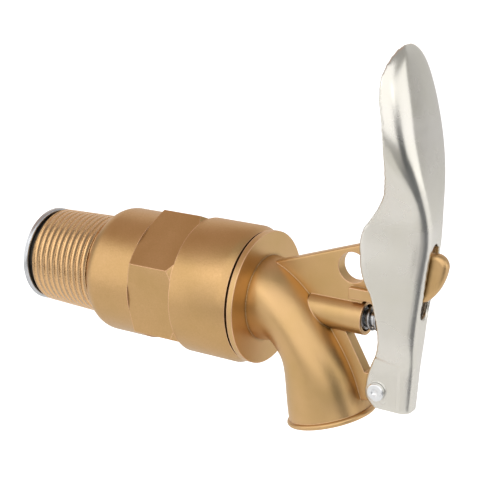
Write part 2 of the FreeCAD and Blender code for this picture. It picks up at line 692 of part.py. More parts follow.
# Return spring: an open coil between the gland washer and the cap washer
spring_start = gland_x + gland_thickness
spring_end = spring_start + spring_length
helix = doc.addObject("Part::Helix", "spring_path")
helix.SegmentLength = 0.5
helix.Placement = Placement(Vector(), Rotation(Vector(0, 1, 0), 90))
bind(helix, "Radius", spring_coil)
bind(helix, "Height", spring_length - spring_wire)
bind(helix, "Pitch", (spring_length - spring_wire) / spring_turns)
bind(helix, "Placement.Base.x", spring_start + spring_wire / 2)
wire_section = doc.addObject("Part::Circle", "spring_section")
wire_section.Placement = Placement(Vector(), Rotation(Vector(1, 0, 0), 90))
bind(wire_section, "Radius", spring_wire / 2)
bind(wire_section, "Placement.Base.x", spring_start + spring_wire / 2)
bind(wire_section, "Placement.Base.z", -spring_coil)
doc.recompute()
coil = doc.addObject("Part::Sweep", "spring_coil_sweep")
coil.Sections = [wire_section]
coil.Spine = (helix, ["Edge%d" % (number + 1) for number in range(len(helix.Shape.Edges))])
coil.Solid = True
coil.Frenet = True
keep(coil, "return_spring")

# Stem: collar and threaded end upstream, clip groove and rounded tip at the lever
seal_front = seat_face - seal_gap
washer_front = seal_front + seal_washer_thickness
collar_end = washer_front + collar_length
cup_back = seal_front - seal_thickness - cup_base
nut_back = cup_back - nut_height
stem_start = nut_back - nut_end
clip_x = spring_end + cap_thickness
web_at_stem = pivot_x + web_at_axis
stem_end = web_at_stem - lever_sheet - stem_fit
tip = stem_radius * 0.4
keep(turned("stem", [
    (stem_start, 0),
    (stem_start, stem_thread_radius),
    (washer_front, stem_thread_radius),
    (washer_front, collar_radius),
    (collar_end, collar_radius),
    (collar_end, stem_radius),
    (clip_x, stem_radius),
    (clip_x, stem_radius - clip_groove),
    (clip_x + clip_thickness, stem_radius - clip_groove),
    (clip_x + clip_thickness, stem_radius),
    (stem_end - tip, stem_radius),
    (stem_end, 0, -stem_radius * 2.9),
]), "stem")
keep(turned("seal_washer", [
    (seal_front, stem_thread_radius),
    (seal_front, seal_washer_radius),
    (washer_front, seal_washer_radius),
    (washer_front, stem_thread_radius),
]), "seal_washer")
seal_back = seal_front - seal_thickness
keep(turned("valve_seal", [
    (seal_back, stem_thread_radius),
    (seal_back, seal_radius),
    (seal_front, seal_radius),
    (seal_front, stem_thread_radius),
]), "valve_seal")
keep(turned("valve_cup", [
    (cup_back, stem_thread_radius),
    (cup_back, seal_radius - cup_rim),
    (seal_back - cup_base / 2, seal_radius + cup_rim),
    (seal_back + cup_depth, seal_radius + cup_rim),
    (seal_back + cup_depth, seal_radius),
    (seal_back, seal_radius),
    (seal_back, stem_thread_radius),
]), "valve_cup")
nut_blank = doc.addObject("Part::Prism", "nut_blank")
nut_blank.Polygon = 6
nut_blank.Placement = Placement(Vector(), Rotation(Vector(0, 1, 0), 90))
bind(nut_blank, "Circumradius", nut_flats / math.sqrt(3))
bind(nut_blank, "Height", nut_height)
bind(nut_blank, "Placement.Base.x", nut_back)
nut_bore = cylinder_along_x("nut_bore", nut_back - overrun, cup_back + overrun, stem_thread_radius)
keep(cut("nut_cut", nut_blank, nut_bore), "lock_nut")
keep(turned("spring_cap", [
    (spring_end, stem_radius + stem_fit / 2),
    (spring_end, cap_radius),
    (clip_x, cap_radius),
    (clip_x, stem_radius + stem_fit / 2),
]), "spring_cap")

# Clip: a ring open at the bottom, sprung into the stem's groove
clip = new_body("stem_clip")
clip_sketch = new_sketch(clip, "YZ_Plane", "clip_outline")
bind(clip_sketch, "AttachmentOffset.Base.z", clip_x)
clip_inner = stem_radius - clip_groove
draw_outline(clip_sketch, [
    (-clip_inner * sine(clip_lean), -clip_inner * cosine(clip_lean)),
    (0, clip_inner, -clip_inner),
    (clip_inner * sine(clip_lean), -clip_inner * cosine(clip_lean), -clip_inner),
    (clip_radius * sine(clip_lean), -clip_radius * cosine(clip_lean)),
    (0, clip_radius, clip_radius),
    (-clip_radius * sine(clip_lean), -clip_radius * cosine(clip_lean), clip_radius),
])
clip_pad = clip.newObject("PartDesign::Pad", "clip_pad")
clip_pad.Profile = clip_sketch
bind(clip_pad, "Length", clip_thickness)
keep(clip, "stem_clip")

# Lever: a pressed channel, lofted through sections from its foot to the paddle
web_foot = pivot_x + web_at_pivot
web_knee = pivot_x + web_at_knee
web_top = pivot_x + web_at_top
channel_back = pivot_x - channel_depth
upper_rise = lever_top - knee_height


def web_at_foot(depth):
    """Outside of the web at a depth below the stem."""
    return web_at_stem - (web_at_axis - web_at_pivot) * depth / pivot_drop


def web_at_shank(share):
    """Outside of the web at a share of the way from the stem to the knee."""
    return web_at_stem + (web_at_knee - web_at_axis) * share


def web_above(share):
    """Outside of the web at a share of the way from the knee to the top."""
    return web_knee + (web_top - web_knee) * share


paddle_swell = paddle_half_width - waist_half_width
foot_swell = shank_half_width - foot_half_width
nose_half_width = (shank_half_width + waist_half_width) / 2


def lever_sections(inset):
    """Height, outside of the web, half width and share of the bend radius, from foot to top."""
    rise = upper_rise - inset
    drop = lever_bottom + inset
    return [
        (-drop * 1.7, web_at_foot(drop * 1.7), foot_half_width, 0.8),
        (-drop * 1.4, web_at_foot(drop * 1.4), foot_half_width, 0.8),
        (-drop * 1.15, web_at_foot(drop * 1.15), foot_half_width, 0.8),
        (-drop * 0.92, web_at_foot(drop * 0.92), foot_half_width, 0.8),
        (-drop * 0.69, web_at_foot(drop * 0.69), foot_half_width, 0.8),
        (-drop * 0.46, web_at_foot(drop * 0.46), foot_half_width + foot_swell * 0.14, 0.85),
        (-drop * 0.20, web_at_foot(drop * 0.20), foot_half_width + foot_swell * 0.75, 0.95),
        (knee_height * 0.09, web_at_shank(0.09), shank_half_width, 1.0),
        (knee_height * 0.36, web_at_shank(0.36), nose_half_width, 1.0),
        (knee_height * 0.68, web_at_shank(0.68), waist_half_width, 1.0),
        (knee_height, web_knee - knee_round, waist_half_width, 1.0),
        (knee_height + rise * 0.13, web_above(0.13), waist_half_width + paddle_swell * 0.13, 1.05),
        (knee_height + rise * 0.27, web_above(0.27), waist_half_width + paddle_swell * 0.45, 1.25),
        (knee_height + rise * 0.41, web_above(0.41), waist_half_width + paddle_swell * 0.78, 1.6),
        (knee_height + rise * 0.56, web_above(0.56), waist_half_width + paddle_swell * 0.97, 1.9),
        (knee_height + rise * 0.70, web_above(0.70), paddle_half_width * 0.96, 2.0),
        (knee_height + rise * 0.82, web_above(0.82) - top_curl * 0.06, paddle_half_width * 0.87, 1.9),
        (knee_height + rise * 0.91, web_above(0.91) - top_curl * 0.21, paddle_half_width * 0.70, 1.6),
        (knee_height + rise * 0.965, web_above(0.965) - top_curl * 0.46, paddle_half_width * 0.48, 1.2),
        (knee_height + rise, web_above(1.0) - top_curl, paddle_half_width * 0.2, 0.6),
    ]


def channel_sketch(body, name, height, back, web, half_width, bend):
    """Section of the channel at a height: square at the back, round at the two bends."""
    sketch = new_sketch(body, "XY_Plane", name)
    bind(sketch, "AttachmentOffset.Base.z", height)
    return draw_outline(sketch, [
        (back, -half_width),
        (web - bend, -half_width),
        (web, bend - half_width, bend),
        (web, half_width - bend),
        (web - bend, half_width, bend),
        (back, half_width),
    ])


lever = new_body("lever")
for kind, name, inset in (
        ("PartDesign::AdditiveLoft", "channel_outside", as_size(0)),
        ("PartDesign::SubtractiveLoft", "channel_inside", lever_sheet)):
    sketches = [
        channel_sketch(lever, "%s_%d" % (name, index), height, channel_back - inset,
                       web - inset, half_width - inset, lever_bend * share - inset)
        for index, (height, web, half_width, share) in enumerate(lever_sections(inset))
    ]
    loft = lever.newObject(kind, name)
    loft.Profile = sketches[0]
    loft.Sections = sketches[1:]
    loft.Ruled = False
    lever.Tip = loft
    doc.recompute()

# Lever: side trim that leaves the flanges with their waist, foot and open back
edge_paddle = pivot_x + flange_edge_paddle
edge_waist = pivot_x - flange_edge_waist
edge_shank = pivot_x - flange_edge_shank
edge_foot = pivot_x - flange_edge_foot
trim_sketch = draw_outline(new_sketch(lever, "XZ_Plane", "side_trim"), [
    (channel_back - lever_sheet * 2, lever_top + lever_sheet),
    (edge_paddle + paddle_edge_lean, lever_top + lever_sheet),
    (edge_paddle, lever_top - paddle_edge_bend),
    (edge_paddle, lever_top - paddle_edge_high),
    (edge_paddle, lever_top - paddle_edge_low, -paddle_edge_bow),
    (edge_waist + lever_sheet * 0.85, waist_edge_high, -shank_edge_hollow * 1.29),
    (edge_waist, waist_edge_middle, waist_edge_round),
    (edge_waist + lever_sheet * 1.85, waist_edge_low, waist_edge_bow),
    (edge_shank - lever_sheet * 0.15, as_size(0), -shank_edge_hollow),
    (edge_shank - lever_sheet * 0.46, pivot_z + shank_edge_low, -shank_edge_round),
    (edge_foot, pivot_z + lever_sheet * 0.46, foot_edge_bow),
    (pivot_x, -lever_bottom, lug_round * 1.35),
    (web_foot + lever_sheet, -lever_bottom),
    (web_foot + lever_sheet, -lever_bottom * 2),
    (channel_back - lever_sheet * 2, -lever_bottom * 2),
])
trim = lever.newObject("PartDesign::Pocket", "side_trim_cut")
trim.Profile = trim_sketch
trim.SideType = "Symmetric"
bind(trim, "Length", paddle_half_width * 3)
lever.Tip = trim
doc.recompute()

# Lever: slot for the fin's nose
slot_sketch = draw_outline(new_sketch(lever, "YZ_Plane", "slot_outline"), [
    (slot_half_width, slot_high - slot_half_width),
    (0, slot_high, slot_half_width),
    (-slot_half_width, slot_high - slot_half_width, slot_half_width),
    (-slot_half_width, slot_low + slot_half_width),
    (0, slot_low, slot_half_width),
    (slot_half_width, slot_low + slot_half_width, slot_half_width),
])
bind(slot_sketch, "AttachmentOffset.Base.z", web_at_stem - lever_bend * 2)
slot = lever.newObject("PartDesign::Pocket", "slot")
slot.Profile = slot_sketch
slot.Reversed = True
bind(slot, "Length", lever_bend * 4)
lever.Tip = slot
doc.recompute()
# Lever: holes for the rivet through both flanges
rivet_sketch = new_sketch(lever, "XZ_Plane", "rivet_hole_outline")
draw_circle(rivet_sketch, pivot_x, pivot_z, rivet_radius + rivet_slack)
rivet_hole = lever.newObject("PartDesign::Pocket", "rivet_holes")
rivet_hole.Profile = rivet_sketch
rivet_hole.SideType = "Symmetric"
bind(rivet_hole, "Length", shank_half_width * 3)
lever.Tip = rivet_hole
keep(lever, "lever")

# Pivot rivet: rolled head with a dimple on the near side, flat factory head on the far side
rivet_seat = foot_half_width + rivet_slack * 3
near_face = -rivet_seat - rivet_head_height
far_face = rivet_seat + rivet_head_height
head_round = rivet_head_height * 0.4
rivet = turned("pivot_rivet", [
    (near_face + rivet_dimple * 0.6, 0),
    (near_face, rivet_dimple, rivet_dimple),
    (near_face, rivet_head - head_round),
    (near_face + head_round, rivet_head, -head_round),
    (-rivet_seat, rivet_head),
    (-rivet_seat, rivet_radius),
    (rivet_seat, rivet_radius),
    (rivet_seat, rivet_flat_head),
    (rivet_seat + head_round, rivet_flat_head),
    (far_face, 0, -rivet_flat_head * 4),
])
rivet.Placement = Placement(Vector(), Rotation(Vector(0, 0, 1), 90))
bind(rivet, "Placement.Base.x", pivot_x)
bind(rivet, "Placement.Base.z", pivot_z)
keep(rivet, "pivot_rivet")

# Checks before anything is written
doc.recompute()
for item in doc.Objects:
    if "Invalid" in item.State or "Error" in item.State:
        raise RuntimeError("failed to build: " + item.Name)
for label, item in node_objects.items():
    if item.Shape.isNull() or not item.Shape.isValid() or not item.Shape.Solids:
        raise RuntimeError("no sound solid: " + label)
blank_volume = doc.getObject("inlet_blank_turn").Shape.Volume
if not node_objects["inlet_body"].Shape.Volume < blank_volume:
    raise RuntimeError("the spanner flats removed nothing")
if not lever.Shape.Volume < slot.Shape.Volume < trim.Shape.Volume:
    raise RuntimeError("a cut in the lever removed nothing")

# One file for each sub-part
os.makedirs("parts", exist_ok=True)
for label, item in node_objects.items():
    item.Shape.exportStep("parts/%s.step" % label)
    print("%-24s %10.1f mm3" % (label, item.Shape.Volume))
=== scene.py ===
import math

import bpy
from mathutils import Matrix, Vector


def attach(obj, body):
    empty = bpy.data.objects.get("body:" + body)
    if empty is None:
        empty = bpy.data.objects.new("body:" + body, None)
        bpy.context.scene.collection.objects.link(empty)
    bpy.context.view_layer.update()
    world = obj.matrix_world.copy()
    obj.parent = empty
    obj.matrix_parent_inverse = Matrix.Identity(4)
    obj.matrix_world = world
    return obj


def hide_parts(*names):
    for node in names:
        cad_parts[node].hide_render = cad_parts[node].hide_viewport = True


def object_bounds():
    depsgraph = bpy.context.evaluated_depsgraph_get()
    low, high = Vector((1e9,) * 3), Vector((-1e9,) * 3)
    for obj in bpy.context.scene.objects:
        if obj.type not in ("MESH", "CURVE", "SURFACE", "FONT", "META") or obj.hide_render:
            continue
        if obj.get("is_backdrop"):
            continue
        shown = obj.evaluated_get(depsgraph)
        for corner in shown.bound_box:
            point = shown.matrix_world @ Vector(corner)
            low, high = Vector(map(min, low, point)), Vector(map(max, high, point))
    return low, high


bl_info = {
    "name": "Drum tap",
    "version": (1, 0, 0),
    "blender": (4, 5, 0),
    "location": "View3D > Sidebar > Drum tap",
    "description": "Cast brass, pressed steel lever, pipe thread and studio of a self-closing drum tap",
    "category": "Object",
}

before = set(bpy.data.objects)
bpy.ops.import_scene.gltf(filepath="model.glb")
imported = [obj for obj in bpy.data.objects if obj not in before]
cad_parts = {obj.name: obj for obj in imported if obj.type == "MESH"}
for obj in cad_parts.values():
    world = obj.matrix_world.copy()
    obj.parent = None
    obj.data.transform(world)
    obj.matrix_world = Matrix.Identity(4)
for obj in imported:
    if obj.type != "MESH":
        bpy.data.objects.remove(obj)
MM = 0.001
FULL_TURN = 2 * math.pi

# Everything below is in metres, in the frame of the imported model.
# +X runs along the tap out of the drum, +Z is up, and the origin is where the inlet thread starts.

# The paddle's web in its middle, where it starts and where it ends, and how far back its rim reaches
PADDLE_KNEE = Vector((110.4, 0, 22)) * MM
PADDLE_TOP = Vector((103.9, 0, 64.4)) * MM
PADDLE_RIM = 100.5 * MM


class TapSizes(bpy.types.PropertyGroup):
    """Sizes of the forms that are modelled here."""

    nipple_radius: bpy.props.FloatProperty(
        name="Nipple radius", description="Radius over the thread's crests at the shoulder",
        default=13.2 * MM, unit="LENGTH", precision=5)
    nipple_length: bpy.props.FloatProperty(
        name="Nipple length", description="Length of the threaded nipple from the origin to the shoulder",
        default=20.1 * MM, unit="LENGTH", precision=5)
    thread_pitch: bpy.props.FloatProperty(
        name="Thread pitch", description="Distance from crest to crest of the pipe thread",
        default=1.814 * MM, unit="LENGTH", precision=5)
    thread_depth: bpy.props.FloatProperty(
        name="Thread depth", description="Depth of the thread's grooves",
        default=1.2 * MM, unit="LENGTH", precision=5)
    thread_taper: bpy.props.FloatProperty(
        name="Thread taper", description="How much the radius grows along each unit of length",
        default=1 / 32, precision=4)
    soft_edge: bpy.props.FloatProperty(
        name="Soft edge", description="Rounding of the castings' edges as the light shows it",
        default=0.22 * MM, unit="LENGTH", precision=5)


class TapColours(bpy.types.PropertyGroup):
    """Colours of the metals and rubbers."""

    brass: bpy.props.FloatVectorProperty(
        name="Cast brass", description="Colour of the inlet body's blasted brass",
        default=(0.60, 0.375, 0.175), subtype="COLOR", size=3, min=0, max=1)
    spout_brass: bpy.props.FloatVectorProperty(
        name="Spout brass", description="Colour of the smoother spout casting",
        default=(0.62, 0.40, 0.19), subtype="COLOR", size=3, min=0, max=1)
    lever_steel: bpy.props.FloatVectorProperty(
        name="Lever steel", description="Colour of the lever's plated sheet",
        default=(0.73, 0.705, 0.65), subtype="COLOR", size=3, min=0, max=1)
    bright_tin: bpy.props.FloatVectorProperty(
        name="Tinned steel", description="Colour of the thin arrester cup",
        default=(0.60, 0.61, 0.63), subtype="COLOR", size=3, min=0, max=1)
    aluminium: bpy.props.FloatVectorProperty(
        name="Aluminium", description="Colour of the pivot rivet",
        default=(0.84, 0.85, 0.86), subtype="COLOR", size=3, min=0, max=1)
    rubber: bpy.props.FloatVectorProperty(
        name="Rubber", description="Colour of the seals and the swivel washer",
        default=(0.070, 0.052, 0.038), subtype="COLOR", size=3, min=0, max=1)


class TapStudio(bpy.types.PropertyGroup):
    """Camera, lamps and background."""

    camera_azimuth: bpy.props.FloatProperty(
        name="Camera azimuth", description="Turn of the camera about the tap from straight in front",
        default=math.radians(32.73), subtype="ANGLE")
    camera_elevation: bpy.props.FloatProperty(
        name="Camera elevation", description="Height of the camera above the horizon",
        default=math.radians(16.41), subtype="ANGLE")
    camera_distance: bpy.props.FloatProperty(
        name="Camera distance", description="Distance from the camera to the point it looks at",
        default=300 * MM, unit="LENGTH")
    camera_lens: bpy.props.FloatProperty(
        name="Lens", description="Focal length for a sensor 36 mm wide", default=90.86)
    background: bpy.props.FloatVectorProperty(
        name="Background", description="Colour of floor and backdrop",
        default=(0.70, 0.70, 0.70), subtype="COLOR", size=3, min=0, max=1)
    paper_glow: bpy.props.FloatProperty(
        name="Paper glow", description="How far floor and backdrop are lit beyond the lamps' light",
        default=0.95)
    paper_mirrored: bpy.props.FloatProperty(
        name="Mirrored paper", description="Share of that glow which the metal mirrors", default=0.4)
    key_level: bpy.props.FloatProperty(
        name="Key light", description="Brightness of the large soft light at the camera's left",
        default=0.92)
    front_level: bpy.props.FloatProperty(
        name="Front light", description="Brightness of the large soft light over the camera",
        default=0.98)
    side_level: bpy.props.FloatProperty(
        name="Side light", description="Brightness of the soft light at the right", default=0.95)
    spark_level: bpy.props.FloatProperty(
        name="Small light", description="Brightness of the small light that makes the glints",
        default=5.0)
    room_level: bpy.props.FloatProperty(
        name="Room light", description="Level of the light that comes from all around", default=0.45)


def sizes():
    return bpy.context.scene.tap_sizes


def colours():
    return bpy.context.scene.tap_colours


def studio():
    return bpy.context.scene.tap_studio


# Small helpers for modelling


def leave_alone():
    """End any edit and deselect everything, so that an operator acts on one piece only."""
    if bpy.context.object and bpy.context.object.mode != "OBJECT":
        bpy.ops.object.mode_set(mode="OBJECT")
    bpy.ops.object.select_all(action="DESELECT")


def pick(piece):
    """Make a piece the only selected and the active one."""
    leave_alone()
    piece.select_set(True)
    bpy.context.view_layer.objects.active = piece
    return piece


def apply_modifiers(piece):
    pick(piece)
    for modifier in list(piece.modifiers):
        bpy.ops.object.modifier_apply(modifier=modifier.name)


def settle(piece):
    """Put the piece's place into its mesh, so that its object sits at the origin."""
    pick(piece)
    bpy.ops.object.transform_apply(location=True, rotation=True, scale=True)


def copy_node(node, name):
    """A copy of a CAD node's mesh as one welded skin, under a name of its own."""
    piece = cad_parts[node].copy()
    piece.data = piece.data.copy()
    piece.name = name
    piece.data.name = name
    for key in list(piece.keys()):
        del piece[key]
    piece.parent = None
    bpy.context.scene.collection.objects.link(piece)
    pick(piece)
    bpy.ops.object.mode_set(mode="EDIT")
    bpy.ops.mesh.select_all(action="SELECT")
    bpy.ops.mesh.remove_doubles(threshold=0.0005 * MM)
    bpy.ops.mesh.customdata_custom_splitnormals_clear()
    bpy.ops.object.mode_set(mode="OBJECT")
    return piece


def shade(piece, angle=32):
    pick(piece)
    bpy.ops.object.shade_smooth_by_angle(angle=math.radians(angle))


def finish_piece(piece, body, slot, material, *nodes):
    """Give a piece its finish, and let it ride on its body and stand for its CAD nodes."""
    piece.data.materials.clear()
    piece.data.materials.append(material)
    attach(piece, body)
    if nodes:
        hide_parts(*nodes)


def finish_nodes(slot, material, *nodes):
    """Give CAD nodes that keep their shape their finish."""
    for node in nodes:
        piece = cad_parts[node]
        piece.data.materials.clear()
        piece.data.materials.append(material)


# Small helpers for materials


class Nodes:
    """The node tree of one material."""

    def __init__(self, name):
        self.material = bpy.data.materials.new(name)
        self.material.use_nodes = True
        self.tree = self.material.node_tree
        self.tree.nodes.clear()
        self.output = self.tree.nodes.new("ShaderNodeOutputMaterial")
        self.place = self.tree.nodes.new("ShaderNodeTexCoord").outputs["Object"]

    def add(self, kind, **settings):
        node = self.tree.nodes.new(kind)
        for key, value in settings.items():
            setattr(node, key, value)
        return node

    def link(self, start, end):
        self.tree.links.new(start, end)

    def noise(self, size, detail=3.0, roughness=0.55, stretch=None):
        """Noise with features of about the given size in metres; its Factor output."""
        node = self.add("ShaderNodeTexNoise")
        node.inputs["Scale"].default_value = 1 / size
        node.inputs["Detail"].default_value = detail
        node.inputs["Roughness"].default_value = roughness
        place = self.place
        if stretch:
            mapping = self.add("ShaderNodeMapping")
            mapping.inputs["Scale"].default_value = stretch
            self.link(place, mapping.inputs["Vector"])
            place = mapping.outputs["Vector"]
        self.link(place, node.inputs["Vector"])
        return node.outputs["Fac"]

    def span(self, value, low, high, start=0.0, end=1.0):
        """Map a value from the range low to high onto start to end."""
        node = self.add("ShaderNodeMapRange")
        node.inputs["From Min"].default_value = low
        node.inputs["From Max"].default_value = high
        node.inputs["To Min"].default_value = start
        node.inputs["To Max"].default_value = end
        self.link(value, node.inputs["Value"])
        return node.outputs["Result"]

    def blend(self, factor, first, second):
        """Mix two colours, each a socket or three numbers."""
        node = self.add("ShaderNodeMix", data_type="RGBA")
        self.link(factor, node.inputs["Factor"])
        for socket, colour in ((node.inputs[6], first), (node.inputs[7], second)):
            if isinstance(colour, bpy.types.NodeSocket):
                self.link(colour, socket)
            else:
                socket.default_value = (*colour, 1)
        return node.outputs[2]

    def compute(self, first, second, operation="ADD"):
        """Two values, each a socket or a number, put together by one operation."""
        node = self.add("ShaderNodeMath", operation=operation)
        for socket, value in zip(node.inputs, (first, second)):
            if isinstance(value, bpy.types.NodeSocket):
                self.link(value, socket)
            else:
                socket.default_value = value
        return node.outputs[0]

    def times(self, first, second):
        return self.compute(first, second, "MULTIPLY")

    def axes(self):
        """The place's distances along X, across and up."""
        node = self.add("ShaderNodeSeparateXYZ")
        self.link(self.place, node.inputs["Vector"])
        return node.outputs

    def radius(self, across, up):
        """Distance from the X axis."""
        squares = self.compute(self.compute(across, 2.0, "POWER"), self.compute(up, 2.0, "POWER"))
        return self.compute(squares, 0.5, "POWER")

    def soft_normal(self, radius):
        """Shading normal that rounds the edges and the corners."""
        node = self.add("ShaderNodeBevel", samples=6)
        node.inputs["Radius"].default_value = radius
        return node.outputs["Normal"]

    def edge(self, radius):
        """1 along convex and concave edges, 0 on even faces."""
        soft = self.soft_normal(radius)
        plain = self.add("ShaderNodeNewGeometry").outputs["Normal"]
        product = self.add("ShaderNodeVectorMath", operation="DOT_PRODUCT")
        self.link(soft, product.inputs[0])
        self.link(plain, product.inputs[1])
        even, rounded = 0.995, 0.86
        return self.span(product.outputs["Value"], even, rounded)

    def cavity(self, reach):
        """0 deep in grooves and along inner corners, 1 on open faces; the mask for painted shade."""
        node = self.add("ShaderNodeAmbientOcclusion", samples=8)
        node.inputs["Distance"].default_value = reach
        closed, opened = 0.35, 0.8
        return self.span(node.outputs["AO"], closed, opened)

    def clouded(self, clouds, dark, light):
        """A tone that drifts between two colours with the clouds."""
        return self.blend(self.span(clouds, 0.3, 0.7), dark, light)

    def bump(self, height, depth, normal=None):
        node = self.add("ShaderNodeBump")
        node.inputs["Distance"].default_value = depth
        self.link(height, node.inputs["Height"])
        if normal:
            self.link(normal, node.inputs["Normal"])
        return node.outputs["Normal"]

    def surface(self, colour, roughness, normal, metallic=1.0):
        """The shader. A value that is even all over sits on its own socket."""
        shader = self.add("ShaderNodeBsdfPrincipled")
        shader.inputs["Metallic"].default_value = metallic
        for name, value in (("Base Color", colour), ("Roughness", roughness), ("Normal", normal)):
            self.link(value, shader.inputs[name])
        self.link(shader.outputs["BSDF"], self.output.inputs["Surface"])
        return self.material


def tinted(colour, share, warm=1.0):
    """A colour made lighter or darker by a share, and its blue scaled for a warmer or cooler tone."""
    red, green, blue = (part * share for part in colour)
    return tuple(min(1.0, part) for part in (red, green, blue * warm))


# Finishes


def cast_brass():
    """Blasted cast brass with a fine grain and faint clouds, edges lightened partly by wear and partly as
    painted glints, painted shade in the thread's roots and inner corners, and painted highlights on the
    thread's crests.
    """
    nodes = Nodes("cast_brass")
    base = tuple(colours().brass)
    clouds = nodes.noise(9 * MM, 4.0)
    grain = nodes.noise(0.42 * MM, 2.5, 0.6)
    tone = nodes.clouded(clouds, tinted(base, 0.93, 0.92), tinted(base, 1.05, 1.04))
    speckle = nodes.blend(nodes.span(grain, 0.25, 0.75, 0.0, 0.6), tone, tinted(base, 0.86, 0.85))
    # Outer and inner edges lightened: partly real wear, partly a painted highlight standing in for
    # glints.
    edge_wear_and_glint = nodes.times(nodes.edge(sizes().soft_edge * 2.2), 0.85)
    worn_and_glinting = nodes.blend(edge_wear_and_glint, speckle, tinted(base, 1.55, 1.35))

    along, across, up = nodes.axes()
    length, crest = sizes().nipple_length, sizes().nipple_radius
    drawn = nodes.times(nodes.compute(length, along, "SUBTRACT"), sizes().thread_taper)
    height = nodes.compute(nodes.radius(across, up), drawn)
    height = nodes.span(height, crest - sizes().thread_depth, crest - 0.1 * MM)
    nipple = nodes.span(along, length + 0.2 * MM, length - 0.6 * MM)
    # On the nipple: painted shade in the thread's roots and a painted highlight on its crests, by radius.
    thread_shade_and_highlight = nodes.blend(height, tinted(base, 0.34, 0.6), tinted(base, 1.3, 1.05))
    # finish here carries the painted edge glints and the painted thread shade and highlight.
    finish = nodes.blend(nipple, worn_and_glinting, thread_shade_and_highlight)

    # Painted shade: darker in the grooves and inner corners, found by ambient occlusion.
    with_painted_shade = nodes.blend(nodes.cavity(1.1 * MM), tinted(base, 0.34, 0.7), finish)
    rough = nodes.span(nodes.compute(clouds, grain), 0.7, 1.3, 0.31, 0.42)
    rough = nodes.compute(rough, nodes.times(nipple, 0.1), "SUBTRACT")
    normal = nodes.bump(grain, 0.045 * MM, nodes.soft_normal(sizes().soft_edge))
    return nodes.surface(with_painted_shade, rough, normal)


def spout_brass():
    """Smoother cast brass with a soft sheen, edges lightened partly by wear and partly as painted glints,
    and painted shade in the inner corners.
    """
    nodes = Nodes("spout_brass")
    base = tuple(colours().spout_brass)
    clouds = nodes.noise(11 * MM, 3.0)
    grain = nodes.noise(0.28 * MM, 2.0, 0.6)
    tone = nodes.clouded(clouds, tinted(base, 0.94, 0.9), tinted(base, 1.05, 1.03))
    # Outer and inner edges lightened: partly real wear, partly a painted highlight standing in for
    # glints.
    edge_wear_and_glint = nodes.times(nodes.edge(sizes().soft_edge * 2.2), 0.85)
    worn_and_glinting = nodes.blend(edge_wear_and_glint, tone, tinted(base, 1.5, 1.35))
    # Painted shade: darker in the inner corners, found by ambient occlusion.
    with_painted_shade = nodes.blend(nodes.cavity(1.4 * MM), tinted(base, 0.4, 0.7), worn_and_glinting)
    rough = nodes.span(nodes.compute(clouds, grain), 0.7, 1.3, 0.32, 0.42)
    normal = nodes.bump(grain, 0.02 * MM, nodes.soft_normal(sizes().soft_edge * 1.6))
    return nodes.surface(with_painted_shade, rough, normal)


def turned_brass():
    """Turned brass of the valve cup, with fine rings from the tool."""
    nodes = Nodes("turned_brass")
    base = tuple(colours().spout_brass)
    rings = nodes.noise(0.5 * MM, 2.0, 0.5, stretch=(6.0, 0.4, 0.4))
    tone = nodes.clouded(rings, tinted(base, 0.9), tinted(base, 1.06))
    normal = nodes.bump(rings, 0.006 * MM, nodes.soft_normal(0.1 * MM))
    return nodes.surface(tone, nodes.span(rings, 0.3, 0.7, 0.2, 0.32), normal)


def plated_steel():
    """Pressed sheet with a bright satin plating, edges lightened partly by wear and partly as painted
    glints, and the shallow step pressed in above the rivet.
    """
    nodes = Nodes("plated_steel")
    base = tuple(colours().lever_steel)
    clouds = nodes.noise(14 * MM, 3.0)
    grain = nodes.noise(0.5 * MM, 2.0, 0.6, stretch=(1.0, 1.0, 0.35))
    tone = nodes.clouded(clouds, tinted(base, 0.965, 0.97), tinted(base, 1.03, 1.02))
    # Edges of the sheet lightened: partly real wear, partly a painted highlight standing in for glints.
    worn_and_glinting = nodes.blend(nodes.times(nodes.edge(0.3 * MM), 0.5), tone, tinted(base, 1.15, 1.1))
    rough = nodes.span(clouds, 0.3, 0.7, 0.24, 0.31)

    along, across, up = nodes.axes()
    step_start, step_slope = 97.62 * MM, 0.19
    line = nodes.compute(up, nodes.times(nodes.compute(along, step_start, "SUBTRACT"), step_slope))
    pressed = nodes.span(line, -8.3 * MM, -7.7 * MM)
    flange = nodes.span(along, 104.0 * MM, 103.2 * MM)
    step = nodes.times(nodes.compute(pressed, 1.0, "SUBTRACT"), flange)
    normal = nodes.bump(grain, 0.0005 * MM, nodes.soft_normal(0.3 * MM))
    normal = nodes.bump(step, 0.12 * MM, normal)
    return nodes.surface(worn_and_glinting, rough, normal)


def plain_metal(name, colour, rough):
    """A small part's metal: slight clouds and a fine grain."""
    nodes = Nodes(name)
    clouds = nodes.noise(4 * MM, 3.0)
    grain = nodes.noise(0.4 * MM, 2.0)
    tone = nodes.clouded(clouds, tinted(colour, 0.9), tinted(colour, 1.05))
    normal = nodes.bump(grain, 0.004 * MM, nodes.soft_normal(0.1 * MM))
    return nodes.surface(tone, nodes.span(clouds, 0.3, 0.7, rough * 0.8, rough * 1.25), normal)


